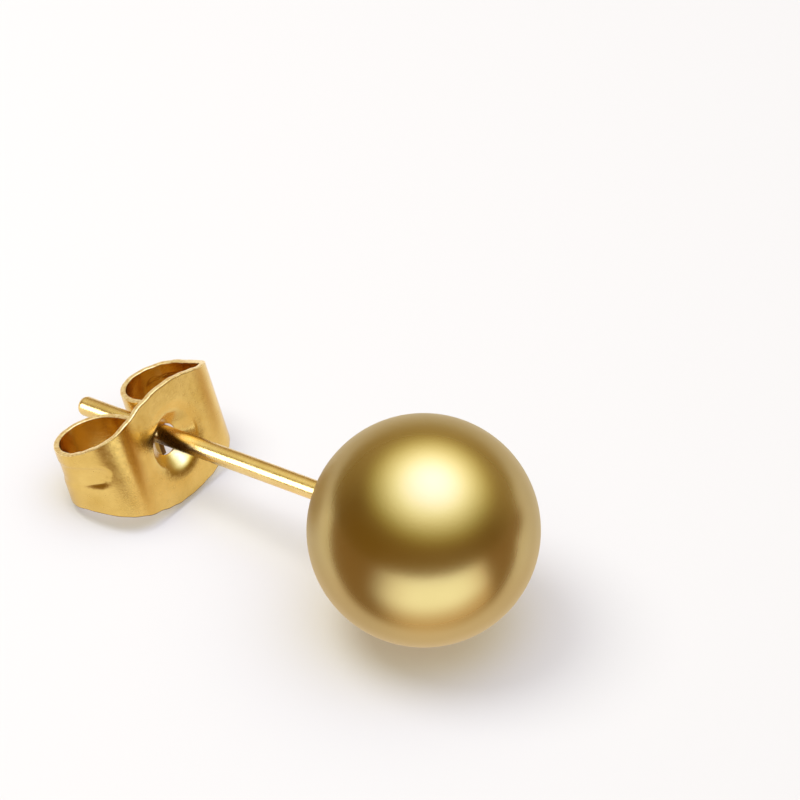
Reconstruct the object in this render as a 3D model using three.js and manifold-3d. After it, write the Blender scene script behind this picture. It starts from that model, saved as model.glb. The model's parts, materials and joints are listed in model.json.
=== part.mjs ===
// Ball stud earring: a drilled ball on a straight post, with a butterfly clutch pushed onto it.
// Millimetres, +Z up. It lies on the plane z = 0 as it would by itself, on the ball and the clutch.
// +X runs from the clutch towards the ball, and the part is the same on both sides of the XZ plane.

import * as THREE from 'three';
import { mergeVertices } from 'three/addons/utils/BufferGeometryUtils.js';
import Module from 'manifold-3d';

// Ball
const BALL_DIAMETER = 8;
const BALL_COLOUR = 0xb58f4a;

// Post
const POST_DIAMETER = 0.7;
const POST_REACH = 11.35; // from the ball's surface to the tip
const POST_SEAT_DEPTH = 3; // the length inside the ball
const POST_TIP_ROUNDING = 0.25;
const SEAT_CLEARANCE = 0.03;
const GOLD_COLOUR = 0xdeb864;

// Clutch strip, seen from above it is a plate whose two arms curl round behind it
const SHEET = 0.2;
const PLATE_WIDTH = 4.4; // across the strip at the hole
const ARM_WIDTH = 2.2; // across the strip in the arms
const TAPER_LENGTH = 5; // along the strip, from the hole to where the arm has its own width
const PLATE_HALF_LENGTH = 1.81; // along the strip, from the hole to the first bend
const SHOULDER_RADIUS = 1.2;
const SHOULDER_TURN = THREE.MathUtils.degToRad(69);
const SIDE_RADIUS = 3.4;
const SIDE_TURN = THREE.MathUtils.degToRad(19);
const ARM_TURN = THREE.MathUtils.degToRad(270); // an arm comes back along the post, to the plate
const TONGUE_CLEARANCE = 0.06; // between the post and each arm's end beside it
const TONGUE_END_GAP = 0.83; // between an arm's end and the back of the funnel

// Pressed forms of the clutch
const HOLE_DIAMETER = 1.16;
const FUNNEL_DEPTH = 0.37;
const FUNNEL_DIAMETER = 2.9;
const GROOVE_DEPTH = 0.08;
const GROOVE_WIDTH = 0.86;
const GROOVE_START = 3.15; // along the strip, from the hole to the groove's round end

// The clutch on the post
const CLUTCH_AT = 11.15; // along the post, from the ball's centre to the plate
const CLUTCH_TILT = THREE.MathUtils.degToRad(11.3); // it leans back from square to the post
const RUNNING_CLEARANCE = 0.02; // between the post and the hole's upper edge

// Fineness of the meshes
const BALL_SEGMENTS = 48;
const POST_SEGMENTS = 24;
const TIP_SEGMENTS = 4;
const HOLE_SEGMENTS = 32;
const PLATE_STEPS = 10;
const SHOULDER_STEPS = 7;
const SIDE_STEPS = 4;
const CURL_STEPS = 14;
const TONGUE_STEPS = 3;
const ROWS = [0, 0.11, 0.22, 0.33, 0.45, 0.58, 0.72, 0.86, 1]; // shares of the half width
const SLOPE_SEARCH_STEPS = 40;

const ballRadius = BALL_DIAMETER / 2;
const postRadius = POST_DIAMETER / 2;
const holeRadius = HOLE_DIAMETER / 2;
const funnelRadius = FUNNEL_DIAMETER / 2;

const wasm = await Module();
wasm.setup();

function toSolid(geometry) {
  const bare = geometry.clone();
  bare.deleteAttribute('normal');
  bare.deleteAttribute('uv');
  const merged = mergeVertices(bare);
  const mesh = new wasm.Mesh({
    numProp: 3,
    vertProperties: new Float32Array(merged.attributes.position.array),
    triVerts: new Uint32Array(merged.index.array),
  });
  return new wasm.Manifold(mesh);
}

function toGeometry(solid) {
  const mesh = solid.getMesh();
  const geometry = new THREE.BufferGeometry();
  geometry.setAttribute('position', new THREE.BufferAttribute(mesh.vertProperties, 3));
  geometry.setIndex(new THREE.BufferAttribute(mesh.triVerts, 1));
  geometry.computeVertexNormals();
  return geometry;
}

function subtract(geometry, tool) {
  return toGeometry(toSolid(geometry).subtract(toSolid(tool)));
}

// A cylinder along X from one x to another
function rodAlongX(radius, fromX, toX, segments) {
  const rod = new THREE.CylinderGeometry(radius, radius, toX - fromX, segments);
  rod.rotateZ(-Math.PI / 2);
  rod.translate((fromX + toX) / 2, 0, 0);
  return rod;
}

// A smooth step from 1 down to 0 between two distances
function fade(distance, from, to) {
  const share = THREE.MathUtils.clamp((distance - from) / (to - from), 0, 1);
  return (1 + Math.cos(Math.PI * share)) / 2;
}

// The arm's last bend has the radius that brings it back beside the post
const tongueOffset = postRadius + TONGUE_CLEARANCE + SHEET / 2;
const sideHeading = SHOULDER_TURN + SIDE_TURN;
const sideOffset =
  PLATE_HALF_LENGTH +
  SHOULDER_RADIUS * Math.sin(SHOULDER_TURN) +
  SIDE_RADIUS * (Math.sin(sideHeading) - Math.sin(SHOULDER_TURN));
const sideDepth =
  SHOULDER_RADIUS * (1 - Math.cos(SHOULDER_TURN)) +
  SIDE_RADIUS * (Math.cos(SHOULDER_TURN) - Math.cos(sideHeading));
const curlRadius = (sideOffset - tongueOffset) / (Math.sin(sideHeading) - Math.sin(ARM_TURN));
const curlEndDepth = sideDepth + curlRadius * (Math.cos(sideHeading) - Math.cos(ARM_TURN));
const tongueLength = curlEndDepth - (FUNNEL_DEPTH + SHEET / 2 + TONGUE_END_GAP);

const stretches = [
  { length: PLATE_HALF_LENGTH, turn: 0, steps: PLATE_STEPS },
  { length: SHOULDER_RADIUS * SHOULDER_TURN, turn: SHOULDER_TURN, steps: SHOULDER_STEPS },
  { length: SIDE_RADIUS * SIDE_TURN, turn: SIDE_TURN, steps: SIDE_STEPS },
  { length: curlRadius * (ARM_TURN - sideHeading), turn: ARM_TURN - sideHeading, steps: CURL_STEPS },
  { length: tongueLength, turn: 0, steps: TONGUE_STEPS },
];

// Stations along one half of the strip's middle line, from the hole to the arm's end.
// across is the distance from the post's plane, depth the distance behind the plate.
function halfStations() {
  const stations = [{ along: 0, across: 0, depth: 0, heading: 0 }];
  for (const { length, turn, steps } of stretches) {
    for (let step = 0; step < steps; step++) {
      const last = stations[stations.length - 1];
      const half = turn / steps / 2;
      const chord = half === 0 ? length / steps : (length / turn) * 2 * Math.sin(half);
      stations.push({
        along: last.along + length / steps,
        across: last.across + chord * Math.cos(last.heading + half),
        depth: last.depth + chord * Math.sin(last.heading + half),
        heading: last.heading + turn / steps,
      });
    }
  }
  return stations;
}

function halfWidth(along) {
  const narrow = ARM_WIDTH / 2;
  const wide = PLATE_WIDTH / 2;
  return narrow + (wide - narrow) * Math.cos((Math.PI / 2) * Math.min(along / TAPER_LENGTH, 1)) ** 2;
}

// How far the sheet is pressed towards the inside of the curls
function pressed(along, height) {
  const funnel = FUNNEL_DEPTH * fade(Math.hypot(along, height), holeRadius, funnelRadius);
  const grooveHalf = GROOVE_WIDTH / 2;
  const grooveEnd = Math.min(along - GROOVE_START - grooveHalf, 0);
  const groove = GROOVE_DEPTH * fade(Math.hypot(grooveEnd, height), grooveHalf / 2, grooveHalf);
  return funnel + groove;
}

// The strip's local frame has X out of the plate's front, Y along the plate and Z up
function clutchGeometry() {
  const half = halfStations();
  const strip = [
    ...half.slice(1).reverse().map((station) => ({ ...station, side: -1 })),
    ...half.map((station) => ({ ...station, side: 1 })),
  ];
  const rows = [...ROWS.slice(1).reverse().map((share) => -share), ...ROWS];
  const positions = [];
  for (const face of [1, -1]) {
    for (const { along, across, depth, heading, side } of strip) {
      for (const row of rows) {
        const height = row * halfWidth(along);
        const out = (face * SHEET) / 2 - pressed(along, height);
        positions.push(
          -(depth - out * Math.cos(heading)),
          side * (across + out * Math.sin(heading)),
          height,
        );
      }
    }
  }
  const faceSize = strip.length * rows.length;
  const vertex = (face, station, row) => face * faceSize + station * rows.length + row;
  const indices = [];
  const quad = (a, b, c, d) => indices.push(a, b, c, a, c, d);
  for (let i = 0; i + 1 < strip.length; i++) {
    for (let j = 0; j + 1 < rows.length; j++) {
      quad(vertex(0, i, j), vertex(0, i + 1, j), vertex(0, i + 1, j + 1), vertex(0, i, j + 1));
      quad(vertex(1, i, j), vertex(1, i, j + 1), vertex(1, i + 1, j + 1), vertex(1, i + 1, j));
    }
    const top = rows.length - 1;
    quad(vertex(0, i, top), vertex(0, i + 1, top), vertex(1, i + 1, top), vertex(1, i, top));
    quad(vertex(0, i + 1, 0), vertex(0, i, 0), vertex(1, i, 0), vertex(1, i + 1, 0));
  }
  const end = strip.length - 1;
  for (let j = 0; j + 1 < rows.length; j++) {
    quad(vertex(0, 0, j), vertex(0, 0, j + 1), vertex(1, 0, j + 1), vertex(1, 0, j));
    quad(vertex(0, end, j + 1), vertex(0, end, j), vertex(1, end, j), vertex(1, end, j + 1));
  }
  const sheet = new THREE.BufferGeometry();
  sheet.setAttribute('position', new THREE.Float32BufferAttribute(positions, 3));
  sheet.setIndex(indices);
  const reach = FUNNEL_DEPTH + SHEET;
  return subtract(sheet, rodAlongX(holeRadius, -reach, reach, HOLE_SEGMENTS));
}

// The post along X, with its inner end in the ball and its round tip at the low end of X
function postGeometry() {
  const tipX = -(ballRadius + POST_REACH);
  const profile = [];
  for (let step = 0; step <= TIP_SEGMENTS; step++) {
    const turn = (step / TIP_SEGMENTS) * (Math.PI / 2);
    profile.push(
      new THREE.Vector2(
        postRadius - POST_TIP_ROUNDING * (1 - Math.sin(turn)),
        tipX + POST_TIP_ROUNDING * (1 - Math.cos(turn)),
      ),
    );
  }
  const innerX = -(ballRadius - POST_SEAT_DEPTH);
  profile.unshift(new THREE.Vector2(0, tipX));
  profile.push(new THREE.Vector2(postRadius, innerX), new THREE.Vector2(0, innerX));
  const post = new THREE.LatheGeometry(profile, POST_SEGMENTS);
  post.rotateZ(-Math.PI / 2);
  return post;
}

// The ball keeps one of its poles straight down, so that it rests on a true point
function ballGeometry(slope) {
  const ball = new THREE.SphereGeometry(ballRadius, BALL_SEGMENTS, BALL_SEGMENTS / 2);
  ball.rotateX(Math.PI / 2);
  ball.rotateY(slope);
  const seatEnd = -(ballRadius - POST_SEAT_DEPTH - SEAT_CLEARANCE);
  const seatRadius = (postRadius + SEAT_CLEARANCE) / Math.cos(Math.PI / POST_SEGMENTS);
  return subtract(ball, rodAlongX(seatRadius, -BALL_DIAMETER, seatEnd, POST_SEGMENTS));
}

// The post lies in the upper part of the clutch's hole, a running clearance off its back edge
const funnelBack = FUNNEL_DEPTH + SHEET / 2;
const holeApothem = holeRadius * Math.cos(Math.PI / HOLE_SEGMENTS);
const liftAtBack = holeApothem - postRadius / Math.cos(CLUTCH_TILT) - RUNNING_CLEARANCE;
const liftAtPlate = liftAtBack - funnelBack * Math.tan(CLUTCH_TILT);
const clutchPlace = new THREE.Vector3(-CLUTCH_AT, 0, 0).addScaledVector(
  new THREE.Vector3(-Math.sin(CLUTCH_TILT), 0, Math.cos(CLUTCH_TILT)),
  -liftAtPlate,
);

// Height of the clutch's lowest point above the plane that the ball stands on
function clutchClearance(geometry, slope) {
  const placed = geometry.clone();
  placed.rotateY(-CLUTCH_TILT);
  placed.translate(clutchPlace.x, clutchPlace.y, clutchPlace.z);
  placed.rotateY(-slope);
  placed.computeBoundingBox();
  return placed.boundingBox.min.z + ballRadius;
}

// The slope of the post, down from the ball, at which the clutch touches the same plane
function restSlope(geometry) {
  let level = 0;
  let steep = Math.PI / 4;
  for (let step = 0; step < SLOPE_SEARCH_STEPS; step++) {
    const slope = (level + steep) / 2;
    if (clutchClearance(geometry, slope) > 0) level = slope;
    else steep = slope;
  }
  return (level + steep) / 2;
}

const ballMaterial = new THREE.MeshStandardMaterial({
  color: BALL_COLOUR,
  roughness: 0.35,
  metalness: 0.6,
});
const goldMaterial = new THREE.MeshStandardMaterial({
  color: GOLD_COLOUR,
  roughness: 0.2,
  metalness: 1,
});

const clutch = new THREE.Mesh(clutchGeometry(), goldMaterial);
clutch.name = 'clutch';
clutch.position.copy(clutchPlace);
clutch.rotation.y = -CLUTCH_TILT;

const slope = restSlope(clutch.geometry);

const ball = new THREE.Mesh(ballGeometry(slope), ballMaterial);
ball.name = 'ball';

const post = new THREE.Mesh(postGeometry(), goldMaterial.clone());
post.name = 'post';

const stud = new THREE.Group();
stud.add(ball, post, clutch);
stud.rotation.y = -slope;
stud.position.z = ballRadius;

// The origin is under the middle of the whole length
const earring = new THREE.Group();
earring.add(stud);
earring.updateMatrixWorld(true);
const extent = new THREE.Box3().setFromObject(earring, true);
stud.position.x = -(extent.min.x + extent.max.x) / 2;

export default earring;
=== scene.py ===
# Ball stud earring on a pale surface: a lustrous ball on a gold post, with a gold butterfly clutch.
# Each piece is modelled in millimetres in its own straight frame, then laid in its place in metres.

import json
import math

import bmesh
import bpy
from mathutils import Matrix, Vector, noise


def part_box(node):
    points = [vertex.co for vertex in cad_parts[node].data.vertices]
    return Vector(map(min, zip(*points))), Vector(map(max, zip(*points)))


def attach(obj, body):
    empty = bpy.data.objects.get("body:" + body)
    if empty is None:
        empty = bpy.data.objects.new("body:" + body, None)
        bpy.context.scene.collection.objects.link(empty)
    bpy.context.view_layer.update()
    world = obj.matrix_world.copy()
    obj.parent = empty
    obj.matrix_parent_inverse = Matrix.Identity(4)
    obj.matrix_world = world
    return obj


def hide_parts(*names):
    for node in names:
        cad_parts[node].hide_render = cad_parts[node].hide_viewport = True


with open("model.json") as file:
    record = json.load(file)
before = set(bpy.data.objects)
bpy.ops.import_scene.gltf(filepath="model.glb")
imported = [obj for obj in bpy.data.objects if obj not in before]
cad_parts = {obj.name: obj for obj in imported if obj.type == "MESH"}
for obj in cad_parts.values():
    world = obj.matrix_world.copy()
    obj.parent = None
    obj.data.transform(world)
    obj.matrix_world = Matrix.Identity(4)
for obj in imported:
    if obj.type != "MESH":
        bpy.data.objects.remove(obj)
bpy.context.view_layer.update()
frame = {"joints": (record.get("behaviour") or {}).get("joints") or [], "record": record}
bpy.ops.object.select_all(action="DESELECT")

# Ball
# One round ball, drilled halfway from the back for the post and coated with a gold-bronze pearl
# lustre, which leaves a satin skin over the drilled edge too.
MM = 0.001
BALL_SEGMENTS = 160
BALL_RINGS = 80
BALL_SMOOTH_ANGLE = math.radians(50)
SEAT_RADIUS = 0.375
SEAT_DEPTH = 3.03
SEAT_EDGE_ROUNDING = 0.03
DEEP_BRONZE = (0.58, 0.435, 0.16)
PALE_BRONZE = (0.62, 0.465, 0.18)
CLEAR_COAT = 0.1
CLEAR_COAT_ROUGHNESS = 0.2
FACING_ROUGHNESS = 0.27
EDGE_ON_ROUGHNESS = 0.5

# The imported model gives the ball's place, and the clutch's slide runs along the post
ball_low, ball_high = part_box("ball")
ball_centre = (ball_low + ball_high) / 2
ball_radius = (ball_high.z - ball_low.z) / 2 / MM
up_the_post = Vector(frame["joints"][0]["axis"]).normalized()
post_slope = math.asin(up_the_post.z)


def lay(piece, lean, place):
    """Turns a piece from its own frame by the lean, moves it to its place and brings it to metres."""
    laid = Matrix.Translation(place) @ Matrix.Rotation(-lean, 4, "Y") @ Matrix.Scale(MM, 4)
    piece.data.transform(laid)
    piece.data.update()


bpy.ops.mesh.primitive_uv_sphere_add(segments=BALL_SEGMENTS, ring_count=BALL_RINGS, radius=ball_radius)
ball = bpy.context.active_object
ball.name = "lustre_ball"
bpy.ops.object.mode_set(mode="EDIT")
bpy.ops.mesh.select_mode(type="FACE")
bpy.ops.mesh.select_all(action="DESELECT")
bpy.ops.object.mode_set(mode="OBJECT")
for polygon in ball.data.polygons:
    centre = polygon.center
    polygon.select = centre.z > 0 and math.hypot(centre.x, centre.y) < SEAT_RADIUS
bpy.ops.object.mode_set(mode="EDIT")
bpy.ops.mesh.delete(type="FACE")
bpy.ops.mesh.select_mode(type="EDGE")
bpy.ops.mesh.select_non_manifold()
mesh = bmesh.from_edit_mesh(ball.data)
seat_edge = [vertex for vertex in mesh.verts if vertex.select]
shrink = SEAT_RADIUS / math.hypot(seat_edge[0].co.x, seat_edge[0].co.y)
seat_edge_rise = math.sqrt(ball_radius**2 - SEAT_RADIUS**2) - seat_edge[0].co.z
bpy.ops.transform.resize(value=(shrink, shrink, 1))
bpy.ops.transform.translate(value=(0, 0, seat_edge_rise))
for depth in (SEAT_EDGE_ROUNDING, SEAT_DEPTH - SEAT_EDGE_ROUNDING):
    bpy.ops.mesh.extrude_region_move(TRANSFORM_OT_translate={"value": (0, 0, -depth)})
bpy.ops.mesh.edge_face_add()
bpy.ops.mesh.select_all(action="SELECT")
bpy.ops.mesh.normals_make_consistent(inside=False)
bpy.ops.object.mode_set(mode="OBJECT")
ball.data.transform(Matrix.Rotation(-math.pi / 2, 4, "Y"))
bpy.ops.object.shade_smooth_by_angle(angle=BALL_SMOOTH_ANGLE)
lay(ball, post_slope, ball_centre)


def metal(name):
    """A new metal: the material, its node tree, its shader and the place on the piece in millimetres."""
    material = bpy.data.materials.new(name)
    material.use_nodes = True
    tree = material.node_tree
    shader = tree.nodes["Principled BSDF"]
    shader.inputs["Metallic"].default_value = 1.0
    place = tree.nodes.new("ShaderNodeTexCoord")
    in_mm = tree.nodes.new("ShaderNodeMapping")
    in_mm.inputs["Scale"].default_value = (1 / MM, 1 / MM, 1 / MM)
    tree.links.new(place.outputs["Object"], in_mm.inputs["Vector"])
    return material, tree, shader, in_mm.outputs["Vector"]


def speckle(tree, place, scale, detail):
    """Noise of a scale per millimetre, from 0 to 1."""
    spots = tree.nodes.new("ShaderNodeTexNoise")
    spots.inputs["Scale"].default_value = scale
    spots.inputs["Detail"].default_value = detail
    tree.links.new(place, spots.inputs["Vector"])
    return spots.outputs["Fac"]


def tinted(tree, level, low, high):
    """A colour between two, each given with the level where it is pure."""
    ramp = tree.nodes.new("ShaderNodeValToRGB")
    for element, (position, colour) in zip(ramp.color_ramp.elements, (low, high)):
        element.position = position
        element.color = (*colour, 1)
    tree.links.new(level, ramp.inputs["Fac"])
    return ramp.outputs["Color"]


def scaled(tree, value, start, end, low=0.0, high=1.0, curve="LINEAR"):
    """A value that goes from low at the start to high at the end, and stays there beyond them."""
    step = tree.nodes.new("ShaderNodeMapRange")
    step.interpolation_type = curve
    step.inputs["From Min"].default_value = start
    step.inputs["From Max"].default_value = end
    step.inputs["To Min"].default_value = low
    step.inputs["To Max"].default_value = high
    tree.links.new(value, step.inputs["Value"])
    return step.outputs["Result"]


def bumped(tree, height, strength, rise, under=None):
    """A surface that rises by so many millimetres where the height is 1, over another bump if given."""
    bump = tree.nodes.new("ShaderNodeBump")
    bump.inputs["Strength"].default_value = strength
    bump.inputs["Distance"].default_value = rise * MM
    tree.links.new(height, bump.inputs["Height"])
    if under is not None:
        tree.links.new(under, bump.inputs["Normal"])
    return bump.outputs["Normal"]


lustre, tree, shader, place = metal("bronze_gold_lustre")
shader.inputs["Coat Weight"].default_value = CLEAR_COAT
shader.inputs["Coat Roughness"].default_value = CLEAR_COAT_ROUGHNESS
clouds = speckle(tree, place, scale=0.35, detail=3.0)
nacre = tinted(tree, clouds, low=(0.3, DEEP_BRONZE), high=(0.7, PALE_BRONZE))
tree.links.new(nacre, shader.inputs["Base Color"])
skin = speckle(tree, place, scale=9.0, detail=4.0)
tree.links.new(bumped(tree, skin, strength=0.12, rise=0.01), shader.inputs["Normal"])
edge_on = tree.nodes.new("ShaderNodeLayerWeight")
edge_on.inputs["Blend"].default_value = 0.5
satin = scaled(
    tree,
    edge_on.outputs["Facing"],
    start=0.4,
    end=0.7,
    low=FACING_ROUGHNESS,
    high=EDGE_ON_ROUGHNESS,
    curve="SMOOTHSTEP",
)
tree.links.new(satin, shader.inputs["Roughness"])
ball.data.materials.clear()
ball.data.materials.append(lustre)
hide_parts("ball")
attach(ball, "stud")

# Post
# A straight piece of drawn brass wire, gold plated, its tip rounded in a cup burr so that it slips
# through the earlobe, its other end glued into the drilled ball.
POST_RADIUS = 0.35
POST_REACH = 11.35
POST_SEAT = 3.0
POST_SIDES = 64
TIP_ROUNDING = 0.25
TIP_SEGMENTS = 8
POST_SMOOTH_ANGLE = math.radians(40)
POST_TARNISHED = (0.78, 0.54, 0.19)
POST_CLEAN = (0.92, 0.68, 0.29)
# The colour of the painted dark reflection on the post's lower side
PAINTED_REFLECTION_BROWN = (0.05, 0.022, 0.008)
# Where the post's painted dark reflection of the clutch lies: which side of the post, where its edge
# lies at one reach from the ball's centre, how it narrows for each millimetre up the post, and how soft
# it is
REFLECTION_SIDE = Vector((0.1093, -0.7044, -0.7013))
REFLECTION_EDGE = 0.086
REFLECTION_EDGE_REACH = 9.95
REFLECTION_TAPER = 0.19
REFLECTION_SOFTNESS = 0.07
REFLECTION_START_REACH = 8.6
REFLECTION_FULL_REACH = 10.4
REFLECTION_FULL_SHARE = 0.93
CLUTCH_FRONT_REACH = 11.4
CLUTCH_BACK_REACH = 12.2
post_length = POST_REACH + POST_SEAT

bpy.ops.object.select_all(action="DESELECT")
bpy.ops.mesh.primitive_cylinder_add(
    vertices=POST_SIDES,
    radius=POST_RADIUS,
    depth=post_length,
    location=(POST_SEAT - ball_radius - post_length / 2, 0, 0),
    rotation=(0, -math.pi / 2, 0),
)
post = bpy.context.active_object
post.name = "drawn_post"
bpy.ops.object.transform_apply()
tip_x = -(ball_radius + POST_REACH)
bpy.ops.object.mode_set(mode="EDIT")
bpy.ops.mesh.select_mode(type="EDGE")
bpy.ops.mesh.select_all(action="DESELECT")
mesh = bmesh.from_edit_mesh(post.data)
for edge in mesh.edges:
    edge.select_set(all(abs(vertex.co.x - tip_x) < TIP_ROUNDING / 2 for vertex in edge.verts))
bmesh.update_edit_mesh(post.data)
bpy.ops.mesh.bevel(offset=TIP_ROUNDING, segments=TIP_SEGMENTS, affect="EDGES")
bpy.ops.object.mode_set(mode="OBJECT")
bpy.ops.object.shade_smooth_by_angle(angle=POST_SMOOTH_ANGLE)
lay(post, post_slope, ball_centre)


def gold_plate(name, tarnished, clean, polished, along, peel, scratches):
    """Bright gold plate over brass: patchy tarnish, a hazy polish, orange peel and fine drawn lines."""
    material, tree, shader, place = metal(name)
    patches = speckle(tree, place, scale=0.9, detail=4.0)
    tint = tinted(tree, patches, low=(0.3, tarnished), high=(0.72, clean))
    tree.links.new(tint, shader.inputs["Base Color"])
    haze = speckle(tree, place, scale=6.0, detail=6.0)
    polish = scaled(tree, haze, start=0.3, end=0.7, low=polished[0], high=polished[1])
    tree.links.new(polish, shader.inputs["Roughness"])
    grain = speckle(tree, place, scale=14.0, detail=3.0)
    peeled = bumped(tree, grain, strength=peel, rise=0.01)
    drawn = tree.nodes.new("ShaderNodeMapping")
    drawn.inputs["Scale"].default_value = along
    tree.links.new(place, drawn.inputs["Vector"])
    lines = speckle(tree, drawn.outputs["Vector"], scale=1.0, detail=5.0)
    lined = bumped(tree, lines, strength=scratches, rise=0.01, under=peeled)
    tree.links.new(lined, shader.inputs["Normal"])
    return material, tree, shader, place


def worked(tree, operation, first, second=None):
    """One step of arithmetic on numbers or on what other nodes give."""
    step = tree.nodes.new("ShaderNodeMath")
    step.operation = operation
    for socket, value in zip(step.inputs, (first, second)):
        if isinstance(value, (int, float)):
            socket.default_value = value
        elif value is not None:
            tree.links.new(value, socket)
    return step.outputs["Value"]


def measured(tree, operation, place, fixed):
    """The place's distance from a fixed point, or its dot product with a fixed direction."""
    step = tree.nodes.new("ShaderNodeVectorMath")
    step.operation = operation
    step.inputs[1].default_value = fixed
    tree.links.new(place, step.inputs[0])
    return step.outputs["Value"]


def blend_in(tree, share, under, colour):
    """A share of a colour laid over what is under it."""
    mix = tree.nodes.new("ShaderNodeMix")
    mix.data_type = "RGBA"
    tree.links.new(share, mix.inputs[0])
    if isinstance(under, tuple):
        mix.inputs[6].default_value = (*under, 1)
    else:
        tree.links.new(under, mix.inputs[6])
    mix.inputs[7].default_value = (*colour, 1)
    return mix.outputs[2]


def reach_from_ball(tree, place, way):
    """How far a place lies from the ball's centre in a direction."""
    reach = measured(tree, "DOT_PRODUCT", place, way)
    return worked(tree, "SUBTRACT", reach, way.dot(ball_centre) / MM)


post_gold, tree, shader, place = gold_plate(
    "post_gold",
    POST_TARNISHED,
    POST_CLEAN,
    polished=(0.22, 0.30),
    along=(0.6, 22, 22),
    peel=0.08,
    scratches=0.12,
)

# Painted reflection: the post's lower side is painted brown where the clutch's dark funnel would be
# mirrored, widely beside the clutch and then ever more narrowly
reflection_way = (REFLECTION_SIDE - up_the_post * REFLECTION_TAPER).normalized()
reflection_edge = (REFLECTION_SIDE * REFLECTION_EDGE - up_the_post * REFLECTION_EDGE_REACH).dot(reflection_way)
painted_post_reflection = scaled(
    tree,
    reach_from_ball(tree, place, reflection_way),
    start=reflection_edge - REFLECTION_SOFTNESS,
    end=reflection_edge + REFLECTION_SOFTNESS,
    curve="SMOOTHSTEP",
)
along_post = reach_from_ball(tree, place, up_the_post)
towards_clutch = scaled(
    tree, along_post, start=-REFLECTION_START_REACH, end=-REFLECTION_FULL_REACH, high=REFLECTION_FULL_SHARE
)
before_clutch_back = scaled(tree, along_post, start=-CLUTCH_BACK_REACH, end=-CLUTCH_FRONT_REACH)
painted_post_reflection = worked(tree, "MULTIPLY", painted_post_reflection, towards_clutch)
painted_post_reflection = worked(tree, "MULTIPLY", painted_post_reflection, before_clutch_back)
gold_colour = shader.inputs["Base Color"].links[0].from_socket
# The painted dark reflection is laid into the post's gold colour
tree.links.new(blend_in(tree, painted_post_reflection, gold_colour, PAINTED_REFLECTION_BROWN), shader.inputs["Base Color"])
post.data.materials.clear()
post.data.materials.append(post_gold)
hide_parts("post")
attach(post, "stud")

# Clutch
# A butterfly back, stamped from one strip of thin sheet: the blank is cut wide at the middle, pierced
# and funnelled for the post, grooved along both arms, and the arms are curled round behind the plate
# until their ends lie beside the post.
SHEET = 0.2
PLATE_WIDTH = 4.4
ARM_WIDTH = 2.2
TAPER_LENGTH = 5.0
PLATE_HALF_LENGTH = 1.81
SHOULDER_RADIUS = 1.2
SHOULDER_TURN = math.radians(69)
SIDE_RADIUS = 3.4
SIDE_TURN = math.radians(19)
ARM_TURN = math.radians(270)
TONGUE_CLEARANCE = 0.06
TONGUE_OFFSET = POST_RADIUS + TONGUE_CLEARANCE + SHEET / 2
TONGUE_END_DEPTH = 1.3
HOLE_RADIUS = 0.60
DISH_DEPTH = 0.045
DISH_RADIUS = 1.5
DISH_START = 1.07
FUNNEL_RADIUS = 1.17
FUNNEL_SLOPE = 0.82
FUNNEL_REACH = 1.0
SHOULDER_SOFTNESS = 0.02
GROOVE_DEPTH = 0.08
GROOVE_WIDTH = 0.98
GROOVE_RISE = 0.19
GROOVE_START = 2.9
GROOVE_END = 6.2
GROOVE_DEEP_LENGTH = 0.2
GROOVE_FADE_LENGTH = 1.5
UPPER_FLOOR_SHARE = 0.7
LOWER_FLOOR_SHARE = 0.5
SHEAR_WANDER = 0.04
SHEAR_WAVES = 2.2
EDGE_ROUNDING = 0.085
EDGE_SEGMENTS = 4
EDGE_ANGLE = math.radians(50)
CLUTCH_SMOOTH_ANGLE = math.radians(40)
CELLS_ALONG = 264
CELLS_ACROSS = 44
HOLE_CELLS_ALONG = 6
HOLE_CELLS_ACROSS = 5
RING_REACH = 3.2
FACE_TARNISHED = (0.70, 0.45, 0.11)
FACE_CLEAN = (0.84, 0.58, 0.18)
# The inside's darker gold is painted shade for the loops' hollows, over patchy tarnish
INSIDE_SHADED_TARNISHED = (0.65, 0.385, 0.07)
INSIDE_SHADED_CLEAN = (0.78, 0.485, 0.115)
EDGE_TORN = (0.84, 0.56, 0.20)
EDGE_BRIGHT = (1.0, 0.79, 0.38)
# The colour of the painted shade along the edge's lower part, near the surface
EDGE_PAINTED_SHADE = (0.16, 0.08, 0.02)
# The colour of the painted crease shade along the plate's two upright bends
BEND_PAINTED_SHADE = (0.46, 0.21, 0.03)
BEND_AT = 2.0
BEND_REACH = 0.46
BEND_SHARE = 0.76
# A painted dark reflection of the post beside the funnel and a painted pale highlight in it: middle,
# outer and inner reach, share and colour of each
PAINTED_FUNNEL_MARKS = (
    (Vector((-5.6, -1.31, 3.03)), 0.42, 0.1, 0.55, (0.15, 0.065, 0.01)),
    (Vector((-5.24, -0.02, 1.36)), 0.55, 0.2, 0.62, (1.0, 0.90, 0.62)),
)

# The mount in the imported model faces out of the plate
plate_mount = frame["record"]["mounts"][0]
plate_facing = Vector(plate_mount["axis"]).normalized()
plate_forward = plate_facing.dot(Vector(plate_mount["pos_m"])) / MM
clutch_lean = math.asin(plate_facing.z)

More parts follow.
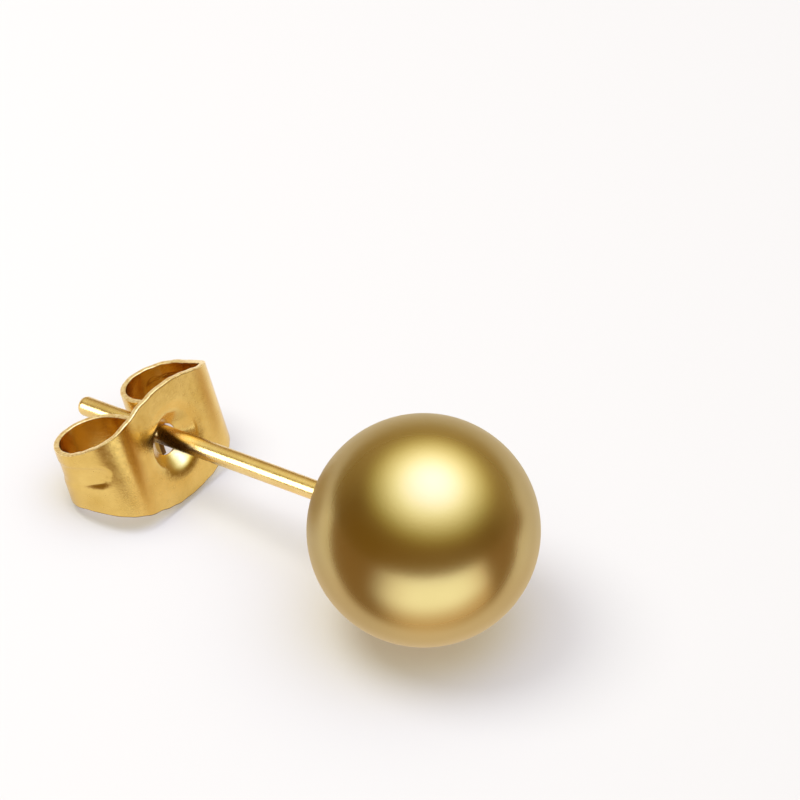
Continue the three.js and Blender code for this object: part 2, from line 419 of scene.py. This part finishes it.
side_heading = SHOULDER_TURN + SIDE_TURN
side_offset = (
    PLATE_HALF_LENGTH
    + SHOULDER_RADIUS * math.sin(SHOULDER_TURN)
    + SIDE_RADIUS * (math.sin(side_heading) - math.sin(SHOULDER_TURN))
)
side_depth = SHOULDER_RADIUS * (1 - math.cos(SHOULDER_TURN)) + SIDE_RADIUS * (
    math.cos(SHOULDER_TURN) - math.cos(side_heading)
)
curl_radius = (side_offset - TONGUE_OFFSET) / (math.sin(side_heading) - math.sin(ARM_TURN))
curl_end_depth = side_depth + curl_radius * (math.cos(side_heading) - math.cos(ARM_TURN))
bends = (
    (PLATE_HALF_LENGTH, 0.0),
    (SHOULDER_RADIUS * SHOULDER_TURN, SHOULDER_TURN),
    (SIDE_RADIUS * SIDE_TURN, SIDE_TURN),
    (curl_radius * (ARM_TURN - side_heading), ARM_TURN - side_heading),
    (curl_end_depth - TONGUE_END_DEPTH, 0.0),
)
strip_half = sum(length for length, turn in bends)


def curled(along):
    """The offset from the post, the depth behind the plate and the heading at a length of arm."""
    offset, depth, heading = 0.0, 0.0, 0.0
    for length, turn in bends:
        part = min(along, length)
        if turn:
            radius = length / turn
            after = heading + part / radius
            offset += radius * (math.sin(after) - math.sin(heading))
            depth += radius * (math.cos(heading) - math.cos(after))
            heading = after
        else:
            offset += part * math.cos(heading)
            depth += part * math.sin(heading)
        along -= part
    return offset, depth, heading


def half_width(along):
    """Half the blank's width, which tapers from the plate to the arms."""
    taper = math.cos(math.pi / 2 * min(along / TAPER_LENGTH, 1)) ** 2
    return ARM_WIDTH / 2 + (PLATE_WIDTH - ARM_WIDTH) / 2 * taper


def sheared(along, height):
    """How far the blank's sheared edge wanders, most at the edge and not at all near the middle."""
    wander = noise.noise(Vector((along * SHEAR_WAVES, math.copysign(3, height), 0)))
    edge_share = (abs(height) / half_width(abs(along))) ** 6
    return -SHEAR_WANDER * (0.5 + wander) * math.copysign(edge_share, height)


def fade(distance, start, end):
    """A smooth fall from 1 at the start to 0 at the end."""
    share = min(max((distance - start) / (end - start), 0), 1)
    return (1 + math.cos(math.pi * share)) / 2


def pressed(along, height):
    """How far the die presses the sheet inwards: the dish and funnel at the hole, and the groove."""
    radius = math.hypot(along, height)
    dish = DISH_DEPTH * fade(radius, DISH_START, DISH_RADIUS)
    down = max(FUNNEL_RADIUS - radius, 0)
    funnel = FUNNEL_SLOPE * down**2 / (down + SHOULDER_SOFTNESS)
    rise = height - GROOVE_RISE
    half = GROOVE_WIDTH / 2
    beyond_end = max(GROOVE_START + half - along, along - GROOVE_END + half, 0)
    floor_share = UPPER_FLOOR_SHARE if rise > 0 else LOWER_FLOOR_SHARE
    deep = fade(along, GROOVE_START + GROOVE_DEEP_LENGTH, GROOVE_START + GROOVE_FADE_LENGTH)
    groove = GROOVE_DEPTH * (0.5 + 0.5 * deep)
    return dish + funnel + groove * fade(math.hypot(beyond_end, rise), half * floor_share, half)


# The blank, a flat strip with the middle cells taken out for the hole
bpy.ops.object.select_all(action="DESELECT")
bpy.ops.mesh.primitive_grid_add(x_subdivisions=CELLS_ALONG, y_subdivisions=CELLS_ACROSS, size=2)
clutch = bpy.context.active_object
clutch.name = "butterfly_clutch"
hole_share_along = 2 * HOLE_CELLS_ALONG / CELLS_ALONG
hole_share_across = 2 * HOLE_CELLS_ACROSS / CELLS_ACROSS
bpy.ops.object.mode_set(mode="EDIT")
bpy.ops.mesh.select_mode(type="FACE")
bpy.ops.mesh.select_all(action="DESELECT")
bpy.ops.object.mode_set(mode="OBJECT")
for polygon in clutch.data.polygons:
    centre = polygon.center
    polygon.select = abs(centre.x) < hole_share_along and abs(centre.y) < hole_share_across
bpy.ops.object.mode_set(mode="EDIT")
bpy.ops.mesh.delete(type="FACE")
bpy.ops.object.mode_set(mode="OBJECT")

# The cells round the hole are drawn into rings, then the sheet is pressed and curled
hole_box_along = hole_share_along * strip_half
hole_box_across = hole_share_across * PLATE_WIDTH / 2
for vertex in clutch.data.vertices:
    along = vertex.co.x * strip_half
    height = vertex.co.y * half_width(abs(along))
    box_share = max(abs(along) / hole_box_along, abs(height) / hole_box_across)
    if box_share < RING_REACH:
        square = (box_share - 1) / (RING_REACH - 1)
        distance = math.hypot(along, height)
        ring = HOLE_RADIUS + (box_share - 1) * (hole_box_along + hole_box_across) / 2
        scale = (1 - square) * ring / distance + square
        along *= scale
        height *= scale
    side = math.copysign(1, along)
    height += sheared(along, height)
    offset, depth, heading = curled(abs(along))
    inward = pressed(abs(along), height)
    vertex.co = (
        -(depth + inward * math.cos(heading)),
        side * (offset - inward * math.sin(heading)),
        height,
    )
clutch.data.update()
bpy.ops.object.mode_set(mode="EDIT")
bpy.ops.mesh.select_all(action="SELECT")
bpy.ops.mesh.normals_make_consistent(inside=False)
bpy.ops.object.mode_set(mode="OBJECT")

# The sheet's face is polished; its two upright bends carry a painted brown band of crease shade,
# most on the near side and towards the top
face_gold, tree, shader, place = gold_plate(
    "clutch_gold",
    FACE_TARNISHED,
    FACE_CLEAN,
    polished=(0.18, 0.28),
    along=(9, 9, 0.8),
    peel=0.25,
    scratches=0.2,
)
sides = tree.nodes.new("ShaderNodeSeparateXYZ")
tree.links.new(place, sides.inputs["Vector"])
from_middle = worked(tree, "ABSOLUTE", sides.outputs["Y"])
from_bend = worked(tree, "ABSOLUTE", worked(tree, "SUBTRACT", from_middle, BEND_AT))
painted_bend_shade = scaled(tree, from_bend, start=BEND_REACH, end=0.0, high=BEND_SHARE, curve="SMOOTHSTEP")
forward = measured(tree, "DOT_PRODUCT", place, plate_facing)
in_front = scaled(tree, forward, start=plate_forward - 0.5, end=plate_forward - 0.3)
near_side = scaled(tree, sides.outputs["Y"], start=BEND_AT, end=-BEND_AT, low=0.8)
upper = scaled(tree, sides.outputs["Z"], start=0.5, end=2.9, low=0.2, curve="SMOOTHSTEP")
for share in (in_front, near_side, upper):
    painted_bend_shade = worked(tree, "MULTIPLY", painted_bend_shade, share)
face_colour = shader.inputs["Base Color"].links[0].from_socket
# The painted crease shade is laid over the face's gold
face_colour = blend_in(tree, painted_bend_shade, face_colour, BEND_PAINTED_SHADE)
# The painted reflection and the painted highlight round the funnel are laid over the face's gold
for middle, outer_reach, inner_reach, full_share, mark_colour in PAINTED_FUNNEL_MARKS:
    from_mark = measured(tree, "DISTANCE", place, middle)
    mark_share = scaled(
        tree, from_mark, start=outer_reach, end=inner_reach, high=full_share, curve="SMOOTHSTEP"
    )
    face_colour = blend_in(tree, mark_share, face_colour, mark_colour)
tree.links.new(face_colour, shader.inputs["Base Color"])

# The sheet's inside is a darker, more saturated copy of the gold: painted shade for the loops' hollows,
# over the plate's patchy tarnish
inside_shaded_gold = gold_plate(
    "clutch_back_gold_painted_shade",
    INSIDE_SHADED_TARNISHED,
    INSIDE_SHADED_CLEAN,
    polished=(0.17, 0.26),
    along=(4, 4, 4),
    peel=0.4,
    scratches=0.15,
)[0]

# The edge that the blanking tool leaves: plated over, but dull, pale and a little ragged, with painted
# shade on its lower part
edge_gold, tree, shader, place = metal("sheared_edge")
shader.inputs["Metallic"].default_value = 0.75
shader.inputs["Roughness"].default_value = 0.36
tears = speckle(tree, place, scale=7.0, detail=3.0)
torn = tinted(tree, tears, low=(0.35, EDGE_TORN), high=(0.55, EDGE_BRIGHT))
sides = tree.nodes.new("ShaderNodeSeparateXYZ")
tree.links.new(place, sides.inputs["Vector"])
# Painted shade: the edge darkens towards the bottom, where it meets the surface
low_edge_shade = scaled(tree, sides.outputs["Z"], start=2.0, end=1.2, high=0.9)
tree.links.new(blend_in(tree, low_edge_shade, torn, EDGE_PAINTED_SHADE), shader.inputs["Base Color"])
tree.links.new(bumped(tree, tears, strength=0.6, rise=0.02), shader.inputs["Normal"])

# The sheet gets its thickness and its rounded edges; the hole's lip is polished with the face
clutch.data.materials.clear()
for sheet_material in (face_gold, inside_shaded_gold, edge_gold):
    clutch.data.materials.append(sheet_material)
wall = clutch.modifiers.new("sheet", "SOLIDIFY")
wall.material_offset = 1
wall.material_offset_rim = 2
wall.thickness = SHEET
wall.offset = 0
wall.use_even_offset = True
edges = clutch.modifiers.new("edges", "BEVEL")
edges.width = EDGE_ROUNDING
edges.segments = EDGE_SEGMENTS
edges.limit_method = "ANGLE"
edges.angle_limit = EDGE_ANGLE
edges.material = 2
bpy.context.view_layer.objects.active = clutch
for modifier in list(clutch.modifiers):
    bpy.ops.object.modifier_apply(modifier=modifier.name)
for polygon in clutch.data.polygons:
    centre = polygon.center
    if centre.x > -FUNNEL_REACH and math.hypot(centre.y, centre.z) < HOLE_RADIUS + SHEET:
        polygon.material_index = 0
bpy.ops.object.shade_smooth_by_angle(angle=CLUTCH_SMOOTH_ANGLE)

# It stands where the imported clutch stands, with its middle in the middle of that clutch's box
lay(clutch, clutch_lean, Vector((0, 0, 0)))
clutch_low, clutch_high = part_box("clutch")
own_low = Vector([min(vertex.co[axis] for vertex in clutch.data.vertices) for axis in range(3)])
own_high = Vector([max(vertex.co[axis] for vertex in clutch.data.vertices) for axis in range(3)])
clutch.data.transform(Matrix.Translation((clutch_low + clutch_high - own_low - own_high) / 2))
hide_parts("clutch")
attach(clutch, "clutch")

# Camera
# A long lens looks down on the earring from the clutch's near side, with the ball in front.
CAMERA_AZIMUTH = math.radians(37.6)
CAMERA_ELEVATION = math.radians(41.7)
CAMERA_DISTANCE = 290 * MM
SENSOR_WIDTH = 36
PHOTO_SIZE = 800
BALL_PIXEL = (424.0, 530.2)
BALL_RADIUS_PIXELS = 117.3

back = Vector(
    (
        math.sin(CAMERA_AZIMUTH) * math.cos(CAMERA_ELEVATION),
        -math.cos(CAMERA_AZIMUTH) * math.cos(CAMERA_ELEVATION),
        math.sin(CAMERA_ELEVATION),
    )
)
right = Vector((math.cos(CAMERA_AZIMUTH), math.sin(CAMERA_AZIMUTH), 0))
upward = back.cross(right)
metres_per_pixel = ball_radius * MM / BALL_RADIUS_PIXELS
aim = (
    ball_centre
    + right * (PHOTO_SIZE / 2 - BALL_PIXEL[0]) * metres_per_pixel
    + upward * (BALL_PIXEL[1] - PHOTO_SIZE / 2) * metres_per_pixel
)
camera_place = ball_centre + back * CAMERA_DISTANCE
bpy.ops.object.camera_add(location=camera_place)
camera = bpy.context.active_object
camera.rotation_euler = (aim - camera_place).to_track_quat("-Z", "Y").to_euler()
camera.data.sensor_width = SENSOR_WIDTH
camera.data.lens = SENSOR_WIDTH * CAMERA_DISTANCE / (PHOTO_SIZE * metres_per_pixel)
camera.data.clip_start = 0.01
bpy.context.scene.camera = camera

# Surface
# A smooth matt board, faintly warm. It glows a little of its own, so that it stays pale between
# the soft shadows.
BOARD_SIZE = 3
BOARD_COLOUR = (0.48, 0.462, 0.416)
BOARD_GLOW = (0.255, 0.225, 0.19)
BOARD_ROUGHNESS = 0.45

bpy.ops.mesh.primitive_plane_add(size=BOARD_SIZE)
surface = bpy.context.active_object
surface.name = "white_board"
board = bpy.data.materials.new("white_board")
board.use_nodes = True
shader = board.node_tree.nodes["Principled BSDF"]
shader.inputs["Base Color"].default_value = (*BOARD_COLOUR, 1)
shader.inputs["Emission Color"].default_value = (*BOARD_GLOW, 1)
shader.inputs["Emission Strength"].default_value = 1.0
shader.inputs["Roughness"].default_value = BOARD_ROUGHNESS
shader.inputs["Specular IOR Level"].default_value = 0.0
surface.data.materials.append(board)

# Room
# A broad soft roof of light hangs over the set and fades out well above the horizon, where the room
# is warm and dark, so that polished metal shows a dark band between the roof and the surface. The
# wall behind the set is paler.
ROOF_RADIANCE = 5.0
ROOF_COLOURS = (
    (0.44, (0.0, 0.0, 0.0)),
    (0.56, (0.034, 0.036, 0.010)),
    (0.66, (0.095, 0.112, 0.070)),
    (0.76, (0.175, 0.20, 0.185)),
    (0.86, (0.28, 0.34, 0.37)),
    (0.91, (0.33, 0.40, 0.60)),
    (0.98, (0.36, 0.45, 0.90)),
    (1.0, (0.37, 0.47, 1.0)),
)
WALL_COLOURS = (
    (-1.0, (0.25, 0.14, 0.01)),
    (0.0, (0.21, 0.122, 0.025)),
    (0.45, (0.35, 0.25, 0.11)),
    (0.75, (0.42, 0.31, 0.15)),
    (1.0, (0.42, 0.30, 0.13)),
)

toward = Vector((back.x, back.y, 0)).normalized()
world = bpy.data.worlds.new("light_tent")
bpy.context.scene.world = world
world.use_nodes = True
tree = world.node_tree
direction = tree.nodes.new("ShaderNodeTexCoord")


def glow(name, axis, stops):
    """A colour for each direction, by the cosine of its angle to the axis."""
    facing = measured(tree, "DOT_PRODUCT", direction.outputs["Generated"], axis.normalized())
    ramp = tree.nodes.new("ShaderNodeValToRGB")
    ramp.name = name
    colours = ramp.color_ramp.elements
    for element, (cosine, colour) in zip(colours, (stops[0], stops[-1])):
        element.position = (cosine + 1) / 2
        element.color = (*colour, 1)
    for cosine, colour in stops[1:-1]:
        colours.new((cosine + 1) / 2).color = (*colour, 1)
    tree.links.new(scaled(tree, facing, start=-1.0, end=1.0), ramp.inputs["Fac"])
    return ramp.outputs["Color"]


roof = glow("roof", Vector((0, 0, 1)) + right * 0.12 + toward * 0.03, ROOF_COLOURS)
wall_glow = glow("wall", right * 0.2 - toward + Vector((0, 0, 0.2)), WALL_COLOURS)
brighten = tree.nodes.new("ShaderNodeVectorMath")
brighten.operation = "SCALE"
brighten.inputs["Scale"].default_value = ROOF_RADIANCE
tree.links.new(roof, brighten.inputs[0])
together = tree.nodes.new("ShaderNodeVectorMath")
together.operation = "ADD"
tree.links.new(brighten.outputs["Vector"], together.inputs[0])
tree.links.new(wall_glow, together.inputs[1])
tree.links.new(together.outputs["Vector"], tree.nodes["Background"].inputs["Color"])

# Reflector card
# A card on the surface, seen in reflections alone: pale under the ball, dark in front of it on both
# sides, and bright in a wedge between them. It is measured in millimetres from the ball's foot,
# across to the right and near towards the front.
CARD_SIZE = 2.0
CARD_FORWARD = 0.38
CARD_LIFT = 0.02
CARD_PALE = (0.97, 0.88, 0.80)
CARD_DARK = (0.31, 0.19, 0.08)
CARD_WARM_EDGE = (0.85, 0.64, 0.45)
CARD_WEDGE = (1.55, 1.70, 1.95)

foot = Vector((ball_centre.x, ball_centre.y, 0))
bpy.ops.mesh.primitive_plane_add(size=CARD_SIZE)
reflector = bpy.context.active_object
reflector.name = "reflector_card"
card_place = foot + toward * CARD_FORWARD + Vector((0, 0, CARD_LIFT * MM))
reflector.data.transform(Matrix.Translation(card_place) @ Matrix.Rotation(CAMERA_AZIMUTH, 4, "Z"))
card = bpy.data.materials.new("reflector_card")
card.use_nodes = True
tree = card.node_tree
shader = tree.nodes["Principled BSDF"]
shader.inputs["Base Color"].default_value = (0, 0, 0, 1)
shader.inputs["Specular IOR Level"].default_value = 0.0
shader.inputs["Emission Strength"].default_value = 1.0
place = tree.nodes.new("ShaderNodeTexCoord")
from_foot = tree.nodes.new("ShaderNodeMapping")
from_foot.vector_type = "TEXTURE"
from_foot.inputs["Location"].default_value = foot
from_foot.inputs["Rotation"].default_value = (0, 0, CAMERA_AZIMUTH)
from_foot.inputs["Scale"].default_value = (MM, MM, MM)
tree.links.new(place.outputs["Object"], from_foot.inputs["Vector"])
axes = tree.nodes.new("ShaderNodeSeparateXYZ")
tree.links.new(from_foot.outputs["Vector"], axes.inputs["Vector"])


def soft_step(value, start, end):
    return scaled(tree, value, start, end, curve="SMOOTHSTEP")


def sector(middle, outer, inner):
    """The part of the card in front of the ball whose across-to-near ratio lies round the middle."""
    turn = worked(tree, "SUBTRACT", worked(tree, "DIVIDE", across, near), middle)
    return soft_step(worked(tree, "ABSOLUTE", turn), outer, inner)


across = axes.outputs["X"]
near = worked(tree, "MULTIPLY", axes.outputs["Y"], -1.0)
swept_back = worked(tree, "MULTIPLY", worked(tree, "ABSOLUTE", across), 0.27)
before_ball = soft_step(worked(tree, "ADD", near, swept_back), 4.2, 5.8)
beside = soft_step(worked(tree, "DIVIDE", near, across), -0.8, -0.25)
far_right = worked(tree, "MULTIPLY", soft_step(across, 18.0, 28.0), beside)
dark = worked(tree, "MAXIMUM", before_ball, far_right)
from_ball = tree.nodes.new("ShaderNodeVectorMath")
from_ball.operation = "LENGTH"
tree.links.new(from_foot.outputs["Vector"], from_ball.inputs[0])
under_ball = soft_step(from_ball.outputs["Value"], 9.0, 7.0)
card_front = soft_step(near, 60.0, 42.0)
warm_edge = worked(tree, "MULTIPLY", sector(0.45, 1.3, 0.5), soft_step(near, 3.6, 5.4))
warm_edge = worked(tree, "MULTIPLY", warm_edge, card_front)
wedge = worked(tree, "MULTIPLY", sector(0.25, 1.4, 0.25), soft_step(near, 5.0, 9.8))
wedge = worked(tree, "MULTIPLY", wedge, card_front)
tone = blend_in(tree, dark, CARD_PALE, CARD_DARK)
tone = blend_in(tree, warm_edge, tone, CARD_WARM_EDGE)
tone = blend_in(tree, wedge, tone, CARD_WEDGE)
tree.links.new(tone, shader.inputs["Emission Color"])
tree.links.new(worked(tree, "MAXIMUM", dark, under_ball), shader.inputs["Alpha"])
reflector.data.materials.append(card)
reflector.visible_camera = False
reflector.visible_diffuse = False
reflector.visible_shadow = False

# Lamps
# A fill from the far left, unseen in reflections, lays the soft shadow to the near right. Two windows
# light the post alone: one lays the long streak, a dim one lifts the post's upper side.
FILL_DISTANCE = 0.15
FILL_SIZE = 0.085
FILL_ENERGY = 0.142
FILL_COLOUR = (0.89, 0.92, 1.0)
WINDOW_DISTANCE = 0.3
WINDOW_COLOUR = (0.80, 0.88, 1.0)
# The direction, size and energy of each window
WINDOWS = (
    (Vector((-0.605, -0.741, 0.291)), 0.2, 0.75),
    (Vector((-0.66, 0.2, 0.65)), 0.3, 0.045),
)


def round_lamp(middle, way, distance, size, energy, colour):
    """A disk of light that faces a place from a direction."""
    bpy.ops.object.light_add(type="AREA", location=middle + way * distance)
    lamp = bpy.context.active_object
    lamp.rotation_euler = way.to_track_quat("Z", "Y").to_euler()
    lamp.data.shape = "DISK"
    lamp.data.size = size
    lamp.data.energy = energy
    lamp.data.color = colour
    return lamp


fill_way = (right * -0.46 - toward * 0.13 + Vector((0, 0, 1))).normalized()
fill = round_lamp(foot, fill_way, FILL_DISTANCE, FILL_SIZE, FILL_ENERGY, FILL_COLOUR)
fill.visible_glossy = False

post_middle = ball_centre - up_the_post * 8 * MM
lit_by_windows = bpy.data.collections.new("lit_by_windows")
lit_by_windows.objects.link(post)
for way, size, energy in WINDOWS:
    window = round_lamp(post_middle, way.normalized(), WINDOW_DISTANCE, size, energy, WINDOW_COLOUR)
    window.light_linking.receiver_collection = lit_by_windows

bpy.context.scene.view_settings.view_transform = "Standard"
